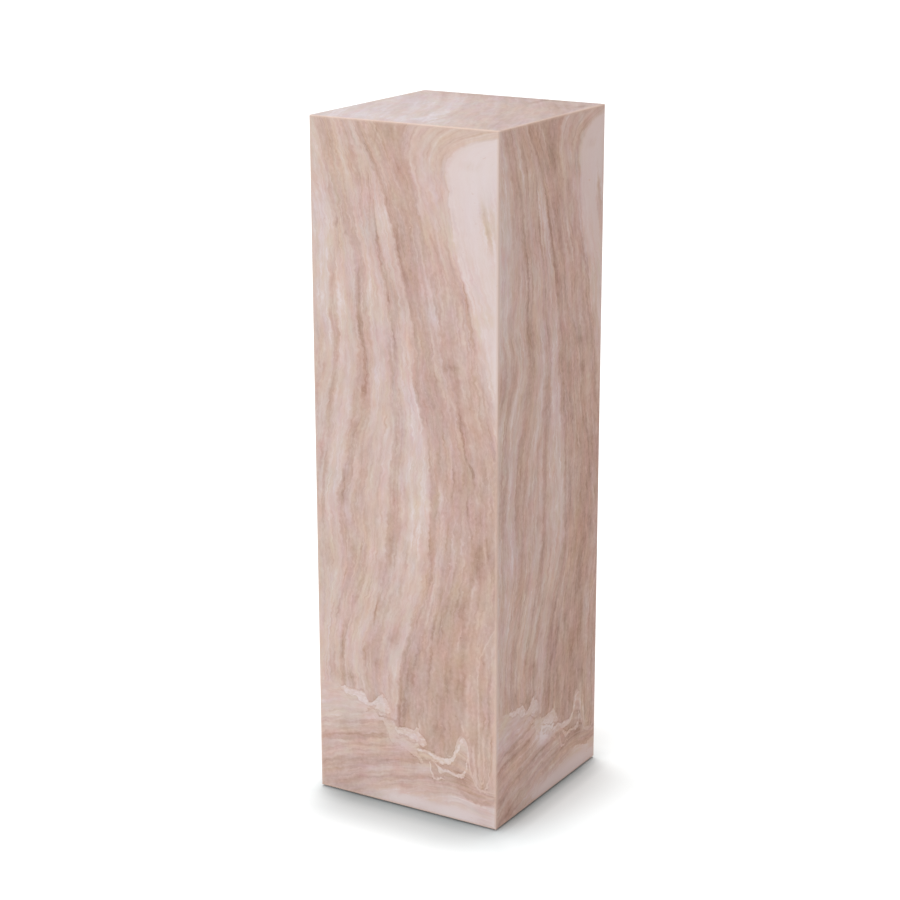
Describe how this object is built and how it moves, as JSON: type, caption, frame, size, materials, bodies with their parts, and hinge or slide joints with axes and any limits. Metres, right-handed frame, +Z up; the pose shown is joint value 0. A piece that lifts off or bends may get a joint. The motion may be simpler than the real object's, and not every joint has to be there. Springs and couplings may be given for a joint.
{
  "type": "pedestal",
  "caption": "Tall square display pedestal clad in smooth pink-beige travertine over a screwed plywood carcass, standing on recessed rubber feet.",
  "frame": {"origin": "centre of the footprint, on the floor that the feet stand on", "axes": "+Z up along the pedestal's height, -Y towards the front slab, +X towards the right slab"},
  "size_m": [0.3, 0.3, 1],
  "materials": {
    "travertine": "honed and filled, matt, pink-beige with tan, brown and lilac-white vein-cut banding",
    "birch_plywood": "sanded, unfinished, with thin glued layers at its edges",
    "softwood": "planed, unfinished, straight grain",
    "black_rubber": "moulded, matt",
    "zinc_plated_steel": "bright zinc plating"
  },
  "bodies": {
    "root": {"front_slab": "travertine", "right_slab": "travertine", "back_slab": "travertine", "left_slab": "travertine", "top_slab": "travertine", "front_board": "birch_plywood", "back_board": "birch_plywood", "left_board": "birch_plywood", "right_board": "birch_plywood", "top_board": "birch_plywood", "base_board": "birch_plywood", "lower_diaphragm": "birch_plywood", "upper_diaphragm": "birch_plywood", "front_batten": "softwood", "back_batten": "softwood", "left_batten": "softwood", "right_batten": "softwood", "foot_front_left": "black_rubber", "foot_front_right": "black_rubber", "foot_back_left": "black_rubber", "foot_back_right": "black_rubber", "side_board_screws": "zinc_plated_steel", "diaphragm_screws": "zinc_plated_steel", "top_board_screws_left_right": "zinc_plated_steel", "top_board_screws_front_back": "zinc_plated_steel", "base_board_screws_left_right": "zinc_plated_steel", "base_board_screws_front_back": "zinc_plated_steel", "batten_screws_left_right": "zinc_plated_steel", "batten_screws_front_back": "zinc_plated_steel", "foot_screws": "zinc_plated_steel", "foot_washers": "zinc_plated_steel"}
  },
  "joints": []
}
